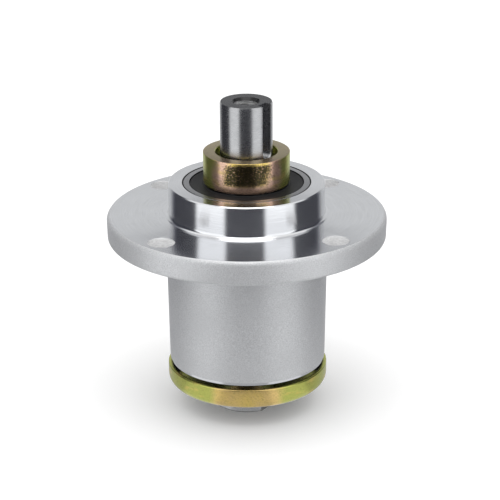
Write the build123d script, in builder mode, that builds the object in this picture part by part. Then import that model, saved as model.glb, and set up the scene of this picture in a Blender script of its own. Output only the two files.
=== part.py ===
from build123d import *
from math import cos, radians, sin, sqrt, tan
import os

# Mower deck spindle, in millimetres. The origin is the centre of the flange's machined top face,
# the shaft's axis is Z and the pulley end is up.

# Housing: flange and pilot boss
flange_radius = 68.25
flange_thickness = 12.0
rim_face_margin = 1.35
rim_top_round = 3.0
rim_draft = 1.6
rim_bottom_round = 1.8
boss_radius = 38.1
boss_height = 15.75
boss_edge = 0.5
boss_root_round = 2.2
bolt_edge_distance = 10.15
bolt_hole_radius = 6.35
bolt_hole_count = 4
bolt_first_angle = 46.2

# Housing: barrel
barrel_top_radius = 39.55
barrel_draft = 1.03
barrel_length = 62.4
barrel_root_round = 5.0
end_band_radius = 37.9
end_band_height = 1.8
end_band_edge = 0.4
seat_shoulder_width = 3.4
seat_lead = 0.4

# Ball bearings, of the common 30 by 62 by 16 mm size
bearing_bore_radius = 15.0
bearing_outer_radius = 31.0
bearing_width = 16.0
ring_corner = 0.6
ball_radius = 4.7625
ball_count = 9
race_clearance = 0.03
groove_conformity = 1.04
outer_race_depth = 1.1625
inner_race_depth = 0.8625
seal_groove_wall = 2.7
seal_groove_lip = 0.4
seal_groove_depth = 2.0
seal_recess = 0.35
seal_thickness = 1.2
seal_body_clearance = 0.35
seal_lip_clearance = 0.06
seal_bead_height = 0.7
cage_sheet = 0.7
cage_pocket_clearance = 0.1
cage_half_width = 1.75
rivet_radius = 0.8
rivet_head_radius = 1.4
rivet_head_height = 0.45
upper_bearing_recess = 0.1
lower_bearing_recess = 0.5

# Shaft
journal_recess = 4.5
stub_radius = 12.7
stub_length = 29.4
stub_edge_width = 0.35
stub_edge_depth = 0.8
journal_edge = 0.5
thrust_collar_length = 10.7
cup_seat_width = 0.9
head_radius = 17.5
head_length = 11.35
head_edge = 0.5
wrench_flat_depth = 3.2
wrench_flat_length = 9.6
wrench_flat_angle = -33.0
key_width = 6.35
key_depth = 3.58
key_end_margin = 2.7
key_angle = -36.0
top_thread_radius = 5.4
top_thread_depth = 32.0
top_sink_width = 1.45
blade_thread_radius = 6.8
blade_thread_depth = 40.0
blade_sink_width = 1.6
drill_point = 118.0
sink_angle = 90.0

# Top collar and spacer tube
collar_wall = 5.95
collar_length = 15.85
collar_bore_clearance = 0.1
collar_top_edge = 0.3
collar_bottom_round = 1.6
spacer_wall = 3.15
spacer_bore_clearance = 0.25
spacer_edge = 0.4

# Dust cup
cup_overhang = 1.5
cup_sheet = 2.0
cup_rim_height = 8.65
cup_corner_round = 4.9
cup_rim_round = 0.6

# Clear margin of a cutting tool beyond the face it cuts, and the edge search's tolerance
cut_margin = 3.0
edge_tolerance = 0.005

# Radii that follow from the sizes above
machined_face_radius = flange_radius - rim_face_margin
bolt_circle_radius = flange_radius - bolt_edge_distance
core_radius = bearing_outer_radius - seat_shoulder_width
pitch_radius = (bearing_bore_radius + bearing_outer_radius) / 2
outer_land_radius = pitch_radius + ball_radius - outer_race_depth
inner_land_radius = pitch_radius - ball_radius + inner_race_depth
seal_groove_radius = bearing_outer_radius - seal_groove_wall
seal_mouth_radius = seal_groove_radius - seal_groove_lip
seal_body_radius = seal_mouth_radius - seal_body_clearance
thrust_collar_radius = head_radius + cup_seat_width
wrench_flat_distance = head_radius - wrench_flat_depth
key_floor_distance = stub_radius - key_depth
top_sink_radius = top_thread_radius + top_sink_width
blade_sink_radius = blade_thread_radius + blade_sink_width
collar_bore_radius = bearing_bore_radius + collar_bore_clearance
collar_radius = collar_bore_radius + collar_wall
spacer_bore_radius = bearing_bore_radius + spacer_bore_clearance
spacer_radius = spacer_bore_radius + spacer_wall
cup_radius = end_band_radius + cup_overhang

# Heights that follow from the sizes above
cast_end = -flange_thickness - barrel_length
housing_bottom = cast_end - end_band_height
upper_bearing_base = boss_height - upper_bearing_recess - bearing_width
lower_bearing_base = housing_bottom + lower_bearing_recess
upper_bearing_face = upper_bearing_base + bearing_width
lower_bearing_face = lower_bearing_base + bearing_width
cup_floor_top = lower_bearing_base - thrust_collar_length
cup_floor_bottom = cup_floor_top - cup_sheet
shaft_bottom = cup_floor_bottom - head_length
collar_top = upper_bearing_face + collar_length
journal_top = collar_top - journal_recess
stub_top = journal_top + stub_length
key_end_height = journal_top + key_end_margin

os.makedirs("parts", exist_ok=True)


def rounds(part, radius, height):
    """The circular edges of this radius that lie at this height."""
    circles = part.edges().filter_by(GeomType.CIRCLE)
    level = circles.filter_by_position(Axis.Z, height - edge_tolerance, height + edge_tolerance)
    return level.filter_by(lambda edge: abs(edge.radius - radius) < edge_tolerance)


# Housing, one casting turned at its boss, flange face, end band and bearing seats
rim_arc_drop = sqrt(rim_top_round**2 - (rim_top_round - (flange_radius - machined_face_radius))**2)
rim_bottom_radius = flange_radius - (flange_thickness - rim_arc_drop) * tan(radians(rim_draft))
barrel_end_radius = barrel_top_radius - barrel_length * tan(radians(barrel_draft))

with BuildPart() as housing:
    with BuildSketch(Plane.XZ):
        with BuildLine():
            Polyline(
                (0, housing_bottom),
                (0, boss_height),
                (boss_radius, boss_height),
                (boss_radius, 0),
                (machined_face_radius, 0),
            )
            RadiusArc(
                (machined_face_radius, 0),
                (flange_radius, -rim_arc_drop),
                rim_top_round,
            )
            Polyline(
                (flange_radius, -rim_arc_drop),
                (rim_bottom_radius, -flange_thickness),
                (barrel_top_radius, -flange_thickness),
                (barrel_end_radius, cast_end),
                (end_band_radius, cast_end),
                (end_band_radius, housing_bottom),
                (0, housing_bottom),
            )
        make_face()
    revolve(axis=Axis.Z)
    with Locations(Plane.XY.offset(boss_height)):
        CounterBoreHole(
            radius=core_radius,
            counter_bore_radius=bearing_outer_radius,
            counter_bore_depth=boss_height - upper_bearing_base,
            depth=boss_height - housing_bottom,
        )
    with BuildSketch(Plane.XY.offset(housing_bottom)):
        Circle(bearing_outer_radius)
    extrude(amount=lower_bearing_recess + bearing_width, mode=Mode.SUBTRACT)
    with Locations(Plane.XY):
        with PolarLocations(bolt_circle_radius, bolt_hole_count, start_angle=bolt_first_angle):
            Hole(bolt_hole_radius, depth=flange_thickness + cut_margin)
    chamfer(rounds(housing, boss_radius, boss_height), boss_edge)
    chamfer(rounds(housing, end_band_radius, housing_bottom), end_band_edge)
    chamfer(rounds(housing, bearing_outer_radius, boss_height), seat_lead)
    chamfer(rounds(housing, bearing_outer_radius, housing_bottom), seat_lead)
    fillet(rounds(housing, boss_radius, 0), boss_root_round)
    fillet(rounds(housing, rim_bottom_radius, -flange_thickness), rim_bottom_round)
    fillet(rounds(housing, barrel_top_radius, -flange_thickness), barrel_root_round)
housing.part.label = "housing"
export_step(housing.part, "parts/housing.step")

# Spindle shaft
top_point_height = top_thread_radius / tan(radians(drill_point / 2))
blade_point_height = blade_thread_radius / tan(radians(drill_point / 2))
key_out = (cos(radians(key_angle)), sin(radians(key_angle)), 0)
key_floor = (key_floor_distance * key_out[0], key_floor_distance * key_out[1], 0)
key_slot_length = stub_top + cut_margin + key_width / 2 - key_end_height

with BuildPart() as spindle_shaft:
    with BuildSketch(Plane.XZ):
        with BuildLine():
            Polyline(
                (0, shaft_bottom),
                (head_radius, shaft_bottom),
                (head_radius, cup_floor_top),
                (thrust_collar_radius, cup_floor_top),
                (thrust_collar_radius, lower_bearing_base),
                (bearing_bore_radius, lower_bearing_base),
                (bearing_bore_radius, journal_top),
                (stub_radius, journal_top),
                (stub_radius, stub_top - stub_edge_depth),
                (stub_radius - stub_edge_width, stub_top),
                (0, stub_top),
                close=True,
            )
        make_face()
    revolve(axis=Axis.Z)
    chamfer(rounds(spindle_shaft, bearing_bore_radius, journal_top), journal_edge)
    chamfer(rounds(spindle_shaft, head_radius, shaft_bottom), head_edge)
    with Locations(Plane.XY.offset(stub_top)):
        CounterSinkHole(top_thread_radius, top_sink_radius, top_thread_depth, sink_angle)
    with Locations(Plane.XY.offset(stub_top - top_thread_depth - top_point_height / 2)):
        Cone(0, top_thread_radius, top_point_height, mode=Mode.SUBTRACT)
    with Locations(Plane.XY.offset(shaft_bottom).rotated((180, 0, 0))):
        CounterSinkHole(blade_thread_radius, blade_sink_radius, blade_thread_depth, sink_angle)
    with Locations(Plane.XY.offset(shaft_bottom + blade_thread_depth + blade_point_height / 2)):
        Cone(blade_thread_radius, 0, blade_point_height, mode=Mode.SUBTRACT)
    with BuildSketch(Plane.XY.offset(shaft_bottom)):
        Circle(head_radius + cut_margin)
        Rectangle(
            2 * wrench_flat_distance,
            2 * (head_radius + cut_margin),
            rotation=wrench_flat_angle,
            mode=Mode.SUBTRACT,
        )
    extrude(amount=wrench_flat_length, mode=Mode.SUBTRACT)
    with BuildSketch(Plane(origin=key_floor, x_dir=(0, 0, 1), z_dir=key_out)):
        with Locations((key_end_height + key_slot_length / 2, 0)):
            SlotOverall(key_slot_length, key_width)
    extrude(amount=stub_radius, mode=Mode.SUBTRACT)
spindle_shaft.part.label = "spindle_shaft"
export_step(spindle_shaft.part, "parts/spindle_shaft.step")

# Top collar, on the upper inner ring
with BuildPart() as top_collar:
    with BuildSketch(Plane.XY.offset(upper_bearing_face)):
        Circle(collar_radius)
        Circle(collar_bore_radius, mode=Mode.SUBTRACT)
    extrude(amount=collar_top - upper_bearing_face)
    chamfer(rounds(top_collar, collar_bore_radius, collar_top), collar_top_edge)
    chamfer(rounds(top_collar, collar_bore_radius, upper_bearing_face), collar_top_edge)
    fillet(rounds(top_collar, collar_radius, collar_top), collar_top_edge)
    fillet(rounds(top_collar, collar_radius, upper_bearing_face), collar_bottom_round)
top_collar.part.label = "top_collar"
export_step(top_collar.part, "parts/top_collar.step")

# Spacer tube, between the inner rings
with BuildPart() as spacer_tube:
    with BuildSketch(Plane.XY.offset(lower_bearing_face)):
        Circle(spacer_radius)
        Circle(spacer_bore_radius, mode=Mode.SUBTRACT)
    extrude(amount=upper_bearing_base - lower_bearing_face)
    for end in (lower_bearing_face, upper_bearing_base):
        chamfer(rounds(spacer_tube, spacer_radius, end), spacer_edge)
        chamfer(rounds(spacer_tube, spacer_bore_radius, end), spacer_edge)
spacer_tube.part.label = "spacer_tube"
export_step(spacer_tube.part, "parts/spacer_tube.step")

# Dust cup, pressed from sheet and seated on the shaft's head under the thrust collar
with BuildPart() as dust_cup:
    with BuildSketch(Plane.XY.offset(cup_floor_bottom)):
        Circle(cup_radius)
    extrude(amount=cup_sheet + cup_rim_height)
    with BuildSketch(Plane.XY.offset(cup_floor_top)):
        Circle(cup_radius - cup_sheet)
    extrude(amount=cup_rim_height, mode=Mode.SUBTRACT)
    fillet(rounds(dust_cup, cup_radius, cup_floor_bottom), cup_corner_round)
    fillet(rounds(dust_cup, cup_radius - cup_sheet, cup_floor_top), cup_corner_round - cup_sheet)
    rim_top = cup_floor_top + cup_rim_height
    fillet(rounds(dust_cup, cup_radius, rim_top), cup_rim_round)
    fillet(rounds(dust_cup, cup_radius - cup_sheet, rim_top), cup_rim_round)
    with Locations(Plane.XY.offset(cup_floor_top)):
        Hole(head_radius, depth=cup_sheet + cut_margin)
dust_cup.part.label = "dust_cup"
export_step(dust_cup.part, "parts/dust_cup.step")

# Ball bearings: the balls run in grooves a little wider than they are, between riveted cage halves
half_width = bearing_width / 2
groove_radius = groove_conformity * ball_radius
outer_groove_centre = pitch_radius + ball_radius + race_clearance - groove_radius
inner_groove_centre = pitch_radius - ball_radius - race_clearance + groove_radius
seal_ledge = half_width - seal_groove_depth
pocket_radius = ball_radius + cage_pocket_clearance
cage_inner_radius = pitch_radius - cage_half_width
cage_outer_radius = pitch_radius + cage_half_width
ball_step = 360 / ball_count

for side, base in (("upper", upper_bearing_base), ("lower", lower_bearing_base)):
    middle = base + half_width
    centre_plane = Plane.XY.offset(middle)
    section = Plane(origin=(0, 0, middle), x_dir=(1, 0, 0), z_dir=(0, -1, 0))

    with BuildPart() as outer_ring:
        with BuildSketch(section):
            with BuildLine():
                Polyline(
                    (outer_land_radius, 0),
                    (outer_land_radius, seal_ledge),
                    (seal_groove_radius, seal_ledge),
                    (seal_groove_radius, seal_ledge + seal_bead_height),
                    (seal_mouth_radius, seal_ledge + seal_bead_height),
                    (seal_mouth_radius, half_width),
                    (bearing_outer_radius - ring_corner, half_width),
                    (bearing_outer_radius, half_width - ring_corner),
                    (bearing_outer_radius, 0),
                )
                mirror(about=Plane.XZ)
            make_face()
            with Locations((outer_groove_centre, 0)):
                Circle(groove_radius, mode=Mode.SUBTRACT)
        revolve(axis=Axis.Z)
    outer_ring.part.label = f"{side}_outer_ring"
    export_step(outer_ring.part, f"parts/{side}_outer_ring.step")

    with BuildPart() as inner_ring:
        with BuildSketch(section):
            with BuildLine():
                Polyline(
                    (inner_land_radius, 0),
                    (inner_land_radius, half_width),
                    (bearing_bore_radius + ring_corner, half_width),
                    (bearing_bore_radius, half_width - ring_corner),
                    (bearing_bore_radius, 0),
                )
                mirror(about=Plane.XZ)
            make_face()
            with Locations((inner_groove_centre, 0)):
                Circle(groove_radius, mode=Mode.SUBTRACT)
        revolve(axis=Axis.Z)
    inner_ring.part.label = f"{side}_inner_ring"
    export_step(inner_ring.part, f"parts/{side}_inner_ring.step")

    for face, direction in (("top", 1), ("bottom", -1)):
        with BuildPart() as seal:
            with BuildSketch(section):
                with BuildLine():
                    Polyline(
                        (inner_land_radius + seal_lip_clearance, half_width - seal_recess),
                        (seal_body_radius, half_width - seal_recess),
                        (seal_body_radius, seal_ledge + seal_bead_height),
                        (seal_groove_radius, seal_ledge + seal_bead_height),
                        (seal_groove_radius, seal_ledge),
                        (outer_land_radius, seal_ledge),
                        (outer_land_radius, half_width - seal_recess - seal_thickness),
                        (
                            inner_land_radius + seal_lip_clearance,
                            half_width - seal_recess - seal_thickness,
                        ),
                        close=True,
                    )
                make_face()
                if direction < 0:
                    mirror(about=Plane.XZ, mode=Mode.REPLACE)
            revolve(axis=Axis.Z)
        seal.part.label = f"{side}_{face}_seal"
        export_step(seal.part, f"parts/{side}_{face}_seal.step")

        with BuildPart() as cage_half:
            with BuildSketch(centre_plane):
                Circle(cage_outer_radius)
                Circle(cage_inner_radius, mode=Mode.SUBTRACT)
            extrude(amount=direction * cage_sheet)
            with Locations(centre_plane):
                with PolarLocations(pitch_radius, ball_count):
                    Sphere(pocket_radius + cage_sheet)
            with BuildSketch(centre_plane):
                Circle(cage_outer_radius)
                Circle(cage_inner_radius, mode=Mode.SUBTRACT)
            extrude(amount=direction * half_width, mode=Mode.INTERSECT)
            with Locations(centre_plane):
                with PolarLocations(pitch_radius, ball_count):
                    Sphere(pocket_radius, mode=Mode.SUBTRACT)
                with PolarLocations(pitch_radius, ball_count, start_angle=ball_step / 2):
                    Cylinder(rivet_radius, half_width, mode=Mode.SUBTRACT)
        cage_half.part.label = f"{side}_cage_{face}_half"
        export_step(cage_half.part, f"parts/{side}_cage_{face}_half.step")

    with BuildPart() as rivets:
        with Locations(centre_plane):
            with PolarLocations(pitch_radius, ball_count, start_angle=ball_step / 2):
                Cylinder(rivet_radius, 2 * cage_sheet)
        for direction in (1, -1):
            with BuildSketch(Plane.XY.offset(middle + direction * cage_sheet)):
                with PolarLocations(pitch_radius, ball_count, start_angle=ball_step / 2):
                    Circle(rivet_head_radius)
            extrude(amount=direction * rivet_head_height)
    rivets.part.label = f"{side}_cage_rivets"
    export_step(rivets.part, f"parts/{side}_cage_rivets.step")

    for number in range(ball_count):
        with BuildPart() as ball:
            with Locations(centre_plane):
                with PolarLocations(pitch_radius, 1, start_angle=number * ball_step):
                    Sphere(ball_radius)
        ball.part.label = f"{side}_ball_{number + 1}"
        export_step(ball.part, f"parts/{side}_ball_{number + 1}.step")
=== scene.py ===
"""Mower deck spindle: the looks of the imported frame, laid out as an add-on.

Each piece is turned on the shaft's axis from its half section, as the real one is on a lathe, and then
cut with the shapes of the tools that cut it. Everything is in metres, in the frame of the CAD.
"""
import math

import bpy
from mathutils import Matrix, Vector


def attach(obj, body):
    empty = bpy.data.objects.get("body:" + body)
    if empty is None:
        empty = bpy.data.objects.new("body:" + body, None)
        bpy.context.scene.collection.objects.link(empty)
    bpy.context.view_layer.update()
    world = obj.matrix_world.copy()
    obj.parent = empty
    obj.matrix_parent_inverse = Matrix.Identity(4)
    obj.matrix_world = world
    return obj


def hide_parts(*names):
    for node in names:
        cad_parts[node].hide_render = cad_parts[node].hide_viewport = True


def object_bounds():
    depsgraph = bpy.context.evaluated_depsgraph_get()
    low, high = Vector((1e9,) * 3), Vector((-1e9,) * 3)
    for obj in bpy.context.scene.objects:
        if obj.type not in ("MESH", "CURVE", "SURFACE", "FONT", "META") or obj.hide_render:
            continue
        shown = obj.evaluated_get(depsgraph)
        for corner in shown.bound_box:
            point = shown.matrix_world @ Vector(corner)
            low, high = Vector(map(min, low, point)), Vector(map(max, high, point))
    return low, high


bl_info = {
    "name": "Mower deck spindle",
    "version": (1, 0, 0),
    "blender": (4, 5, 0),
    "location": "3D View > Sidebar > Spindle",
    "description": "Builds the visible pieces of a mower deck spindle over its CAD frame",
    "category": "Object",
}

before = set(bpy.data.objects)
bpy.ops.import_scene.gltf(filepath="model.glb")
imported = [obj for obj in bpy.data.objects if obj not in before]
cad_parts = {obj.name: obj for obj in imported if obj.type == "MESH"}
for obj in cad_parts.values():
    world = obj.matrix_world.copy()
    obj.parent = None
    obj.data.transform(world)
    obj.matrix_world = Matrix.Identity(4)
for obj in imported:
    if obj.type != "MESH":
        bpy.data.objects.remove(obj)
CAD_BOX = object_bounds()
FLOOR_HEIGHT = CAD_BOX[0][2]

TURN_STEPS = 192
ROUND_STEP = math.radians(10)
SMOOTH_ANGLE = math.radians(28)
MERGE_DISTANCE = 1e-6
CUT_MARGIN = 0.003
BOLT_HOLES = 4
HOLE_STEPS = 48
FLOOR_STEPS = 96
FLOOR_RADIUS = 4
SCREEN_HOLE = 0.018
SCREEN_LIFT = 0.0005
LAMP_PLACE = (0, -0.3, 0.95)
LAMP_WIDTH = 0.9
LAMP_DEPTH = 0.7
SENSOR_WIDTH = 36
BLACK = (0.0, 0.0, 0.0, 1.0)
# Near-white of the painted glints along the cast rim's top edge
CAST_PAINTED_GLINT = (0.95, 0.95, 0.96, 1.0)
ZINC_STAIN = (0.2, 0.15, 0.06, 1.0)
PAPER_DARK = (0.79, 0.79, 0.79, 1.0)
PAPER_LIGHT = (0.81, 0.81, 0.81, 1.0)
SCREEN_WHITE = (0.97, 0.985, 1.0, 1.0)
SCREEN_BLUE = (0.8, 0.82, 1.0, 1.0)


def mm(value):
    """Millimetres as metres"""
    return value / 1000


def length(name, millimetres, description):
    """A size property in metres, written here in millimetres"""
    return bpy.props.FloatProperty(
        name=name, description=description, default=mm(millimetres), unit="LENGTH", precision=5
    )


def angle(name, degrees, description):
    """An angle property, written here in degrees"""
    return bpy.props.FloatProperty(
        name=name, description=description, default=math.radians(degrees), unit="ROTATION"
    )


def colour(name, red, green, blue, description):
    """A colour property in linear light"""
    return bpy.props.FloatVectorProperty(
        name=name, description=description, default=(red, green, blue), subtype="COLOR", min=0, max=1
    )


def amount(name, default, description):
    """A plain number, such as a lamp's strength"""
    return bpy.props.FloatProperty(name=name, description=description, default=default)


class HousingSizes(bpy.types.PropertyGroup):
    flange_radius: length("Flange radius", 68.25, "Radius of the cast rim under its top round")
    flange_thickness: length("Flange thickness", 12, "From the turned top face to the cast underside")
    face_radius: length("Face radius", 66.9, "Where the turned top face ends at the rim's round")
    rim_round: length("Rim round", 3, "Cast round along the rim's top")
    rim_under_radius: length("Rim radius below", 67.985, "Radius of the drafted rim at its underside")
    rim_under_round: length("Rim round below", 1.8, "Cast round along the rim's underside")
    boss_radius: length("Boss radius", 38.1, "Radius of the turned pilot boss")
    boss_height: length("Boss height", 15.75, "Height of the boss above the flange's face")
    boss_edge: length("Boss edge", 0.5, "Chamfer round the boss's top")
    boss_root: length("Boss root", 2.2, "Radius left by the tool between the boss and the turned face")
    bolt_circle: length("Bolt circle radius", 58.1, "From the axis to a bolt hole's centre")
    bolt_hole: length("Bolt hole radius", 6.35, "Radius of a bolt hole")
    bolt_hole_edge: length("Bolt hole edge", 0.25, "Broken edge at a bolt hole's mouth")
    bolt_angle: angle("First bolt angle", 46.2, "Turn of the first bolt hole from the X axis")
    barrel_radius: length("Barrel radius", 39.55, "Radius of the cast barrel under the flange")
    barrel_end_radius: length("Barrel end radius", 38.428, "Radius of the drafted barrel at its lower end")
    barrel_length: length("Barrel length", 62.4, "From the flange's underside to the turned end")
    barrel_root: length("Barrel root", 5, "Cast round between the flange and the barrel")
    band_radius: length("End band radius", 37.9, "Radius of the turned band at the barrel's end")
    band_height: length("End band height", 1.8, "Height of the turned band")
    band_edge: length("End band edge", 0.4, "Chamfer round the turned band")
    seat_radius: length("Bearing seat radius", 31, "Radius of both bearing seats")
    seat_lead: length("Seat lead", 0.4, "Chamfer at the mouth of a bearing seat")
    upper_seat_base: length("Upper seat base", -0.35, "Height of the shoulder under the upper bearing")
    lower_seat_top: length("Lower seat top", -59.7, "Height of the shoulder over the lower bearing")
    core_radius: length("Core radius", 27.6, "Radius of the hollow between the bearings")


class ShaftSizes(bpy.types.PropertyGroup):
    journal_radius: length("Journal radius", 15, "Radius where the bearings sit")
    journal_top: length("Journal top", 27, "Height of the shoulder under the pulley end")
    journal_edge: length("Journal edge", 0.5, "Chamfer on the journal's shoulder")
    stub_radius: length("Pulley end radius", 12.7, "Radius of the keyed end")
    stub_top: length("Pulley end top", 56.4, "Height of the shaft's top face")
    stub_edge_width: length("Top edge width", 0.35, "Width of the chamfer at the top")
    stub_edge_depth: length("Top edge depth", 0.8, "Depth of the chamfer at the top")
    thrust_radius: length("Thrust collar radius", 18.4, "Radius of the collar under the lower bearing")
    thrust_top: length("Thrust collar top", -75.7, "Height of the face under the lower inner ring")
    thrust_bottom: length("Thrust collar bottom", -86.4, "Height of the face on the dust cup")
    head_radius: length("Head radius", 17.5, "Radius of the blade end")
    head_bottom: length("Head bottom", -99.75, "Height of the face that carries the blade")
    head_edge: length("Head edge", 0.5, "Chamfer round the blade end")
    flat_distance: length("Wrench flat distance", 14.3, "From the axis to a wrench flat")
    flat_length: length("Wrench flat length", 9.6, "Height of a wrench flat from the blade end")
    flat_angle: angle("Wrench flat angle", -33, "Turn of the wrench flats about the axis")
    key_width: length("Keyway width", 6.35, "Width of the keyway")
    key_floor: length("Keyway floor", 9.12, "From the axis to the keyway's floor")
    key_end: length("Keyway end", 29.7, "Height where the keyway's rounded end begins")
    key_deburr: length("Keyway deburr", 0.4, "How deep the keyway's edges are broken")
    key_angle: angle("Keyway angle", -36, "Turn of the keyway from the X axis")
    top_drill: length("Top drill radius", 5.4, "Radius of the tap drill in the top")
    top_major: length("Top thread radius", 6.35, "Outer radius of the top thread")
    top_pitch: length("Top thread pitch", 1.954, "Rise of the top thread in a turn")
    top_depth: length("Top hole depth", 32, "Depth of the drilled hole in the top")
    top_threaded: length("Top threaded depth", 26, "Depth of the thread in the top")
    top_sink: length("Top countersink radius", 6.85, "Radius of the countersink in the top face")
    blade_drill: length("Blade drill radius", 6.8, "Radius of the tap drill in the blade end")
    blade_major: length("Blade thread radius", 7.938, "Outer radius of the blade thread")
    blade_pitch: length("Blade thread pitch", 2.309, "Rise of the blade thread in a turn")
    blade_depth: length("Blade hole depth", 40, "Depth of the drilled hole in the blade end")
    blade_threaded: length("Blade threaded depth", 34, "Depth of the thread in the blade end")
    blade_sink: length("Blade countersink radius", 8.4, "Radius of the countersink in the blade end")
    drill_point: angle("Drill point", 118, "Point angle of the drills")


class CollarSizes(bpy.types.PropertyGroup):
    radius: length("Collar radius", 21.05, "Outer radius of the top collar")
    bore: length("Collar bore", 15.1, "Radius of the collar's bore")
    bottom: length("Collar bottom", 15.65, "Height of the face on the bearing's inner ring")
    top: length("Collar top", 31.5, "Height of the face under the pulley's hub")
    top_edge: length("Collar top edge", 0.3, "Round and chamfer of the collar's upper edges")
    bottom_round: length("Collar bottom round", 1.6, "Round of the collar's lower outer edge")


class CupSizes(bpy.types.PropertyGroup):
    radius: length("Cup radius", 39.4, "Outer radius of the dust cup")
    sheet: length("Cup sheet", 2, "Thickness of the pressed sheet")
    floor_top: length("Cup floor", -86.4, "Height of the inside of the cup's floor")
    rim_height: length("Cup rim height", 8.65, "Height of the rim above the floor's inside")
    corner_round: length("Cup corner round", 4.9, "Outer round between the floor and the wall")
    rim_round: length("Cup rim round", 0.6, "Round of the rim's two edges")
    hole_radius: length("Cup hole radius", 17.5, "Radius of the hole round the shaft's head")


class BearingSizes(bpy.types.PropertyGroup):
    outer_radius: length("Bearing radius", 31, "Outer radius of the bearings")
    width: length("Bearing width", 16, "Width of the bearings")
    corner: length("Ring corner", 0.6, "Round of the rings' corners")
    outer_land: length("Outer land radius", 26.6, "Radius of the outer ring's inner face")
    inner_land: length("Inner land radius", 19.1, "Radius of the inner ring's outer face")
    pitch_radius: length("Pitch radius", 23, "From the axis to a ball's centre")
    ball_radius: length("Ball radius", 4.7625, "Radius of a ball")
    groove_radius: length("Groove radius", 4.953, "Radius of the ball groove's section")
    race_clearance: length("Race clearance", 0.03, "Between a ball and the bottom of its groove")
    mouth_radius: length("Seal mouth radius", 27.9, "Radius of the outer ring's edge over the seal")
    groove_outer: length("Seal groove radius", 28.3, "Radius of the groove that holds the seal")
    groove_depth: length("Seal groove depth", 2, "From the ring's face to the groove's floor")
    bead_height: length("Seal bead height", 0.7, "Height of the seal's bead in its groove")
    seal_radius: length("Seal body radius", 27.55, "Radius of the seal's visible face")
    seal_thickness: length("Seal thickness", 1.2, "Thickness of the seal")
    seal_recess: length("Seal recess", 0.35, "From the ring's face down to the seal's face")
    seal_rib: length("Seal rib", 0.22, "Depth of the moulded grooves in the seal's face")
    lip_clearance: length("Lip clearance", 0.06, "Between the seal's lip and the inner ring")
    upper_base: length("Upper bearing base", -0.35, "Height of the upper bearing's lower face")
    lower_base: length("Lower bearing base", -75.7, "Height of the lower bearing's lower face")


class FinishColours(bpy.types.PropertyGroup):
    turned: colour("Turned aluminium", 0.78, 0.785, 0.8, "Lathe-turned faces of the casting")
    cast: colour("Cast aluminium", 0.67, 0.675, 0.685, "Blasted skin of the casting")
    bored: colour("Bored aluminium", 0.88, 0.88, 0.885, "Walls of the bolt holes")
    ground: colour("Ground steel", 0.45, 0.45, 0.455, "The shaft")
    # Painted reflection: the shaft's top face is tinted dark, standing in for the dark surroundings it reflects
    end_face_reflection: colour("Faced steel", 0.13, 0.13, 0.132, "The shaft's dark end face")
    # Painted shade: near-black tint of the top hole's countersink
    countersink_shade: colour("Sunk steel", 0.035, 0.035, 0.036, "The dark countersink of the top hole")
    # Painted highlight: the top thread's flanks are tinted near-white so they read bright inside the hole
    thread_highlight: colour("Tapped steel", 0.88, 0.88, 0.88, "Bright flanks of the top thread")
    bearing: colour("Bearing steel", 0.38, 0.38, 0.385, "Rings and balls")
    plain: colour("Plain steel", 0.42, 0.42, 0.43, "Spacer tube, cages and rivets")
    rubber: colour("Seal rubber", 0.018, 0.018, 0.019, "The bearings' seals")
    # Painted shade, not grease: the near-black tint laid in the upper seat's mouth, in the outer rings' top
    # outer corners and on the dust cup's inner wall
    painted_shade: colour("Groove grime", 0.02, 0.02, 0.02, "Old grease in the groove round the upper bearing")
    zinc_green: colour("Zinc green", 0.5, 0.52, 0.13, "Green tint of the yellow zinc")
    zinc_gold: colour("Zinc gold", 0.82, 0.6, 0.18, "Gold tint of the yellow zinc")
    zinc_rose: colour("Zinc rose", 0.78, 0.5, 0.42, "Rose tint of the yellow zinc")
    # Painted reflection: the darker brown of the collar's top face
    zinc_top_reflection: colour("Zinc brown", 0.4, 0.31, 0.2, "Brown tint on the collar's top face")
    # Painted reflection: the near-black patch on the collar's front
    zinc_front_reflection: colour("Zinc dark", 0.022, 0.02, 0.012, "Dark patch on the collar's front")


class StageSettings(bpy.types.PropertyGroup):
    camera_right: length("Camera right", 1.5, "The camera's place along X")
    camera_back: length("Camera back", 986.9, "The camera's distance in front of the axis")
    camera_up: length("Camera up", 358.4, "The camera's height above the flange's face")
    camera_pitch: angle("Camera pitch", 20.974, "How far the camera looks down")
    camera_roll: angle("Camera roll", -0.276, "Turn of the camera about its line of sight")
    camera_lens: amount("Lens", 154.98, "Focal length in millimetres on a 36 mm sensor")
    world_strength: amount("Sky strength", 1.0, "Strength of the even white surroundings")
    floor_white: amount("Floor white", 0.95, "How white the paper shows to the camera")
    floor_lift: amount("Floor lift", 0.11, "How far the paper's shadow is lifted for the camera")
    screen_radius: length("Screen radius", 330, "From the axis to the screens round the spindle")
    screen_height: length("Screen height", 330, "Height of the screens' top above the flange's face")
    bar_strength: amount("Bar strength", 1.3, "Brightness of the two tall lights in front")
    dark_strength: amount("Dark strength", 0.07, "Brightness of the dark screens beside them")
    back_strength: amount("Back strength", 0.7, "Brightness of the screen behind")
    near_strength: amount("Near strength", 0.56, "Brightness of the floor close to the spindle")
    middle_strength: amount("Middle strength", 0.28, "Brightness of the floor a little further out")
    front_low: length("Front low", 225, "Height where the screens in front begin to brighten")
    front_high: length("Front high", 290, "Height where the screens in front are white")
    back_low: length("Back low", 140, "Height where the screen behind begins to darken")
    back_high: length("Back high", 170, "Height where the screen behind is dark")
    top_power: amount("Top lamp power", 3.0, "Power of the soft lamp above, in watts")
    bar_inner: angle("Bar inner angle", 27.5, "Where a tall light begins, from straight in front")
    bar_outer: angle("Bar outer angle", 72, "Where a tall light ends, from straight in front")
    back_angle: angle("Back angle", 132, "Where the pale back begins, from straight in front")
    bar_shift: angle("Bar shift", 2.5, "Turn of all the lights towards the left")


# Sections


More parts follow.
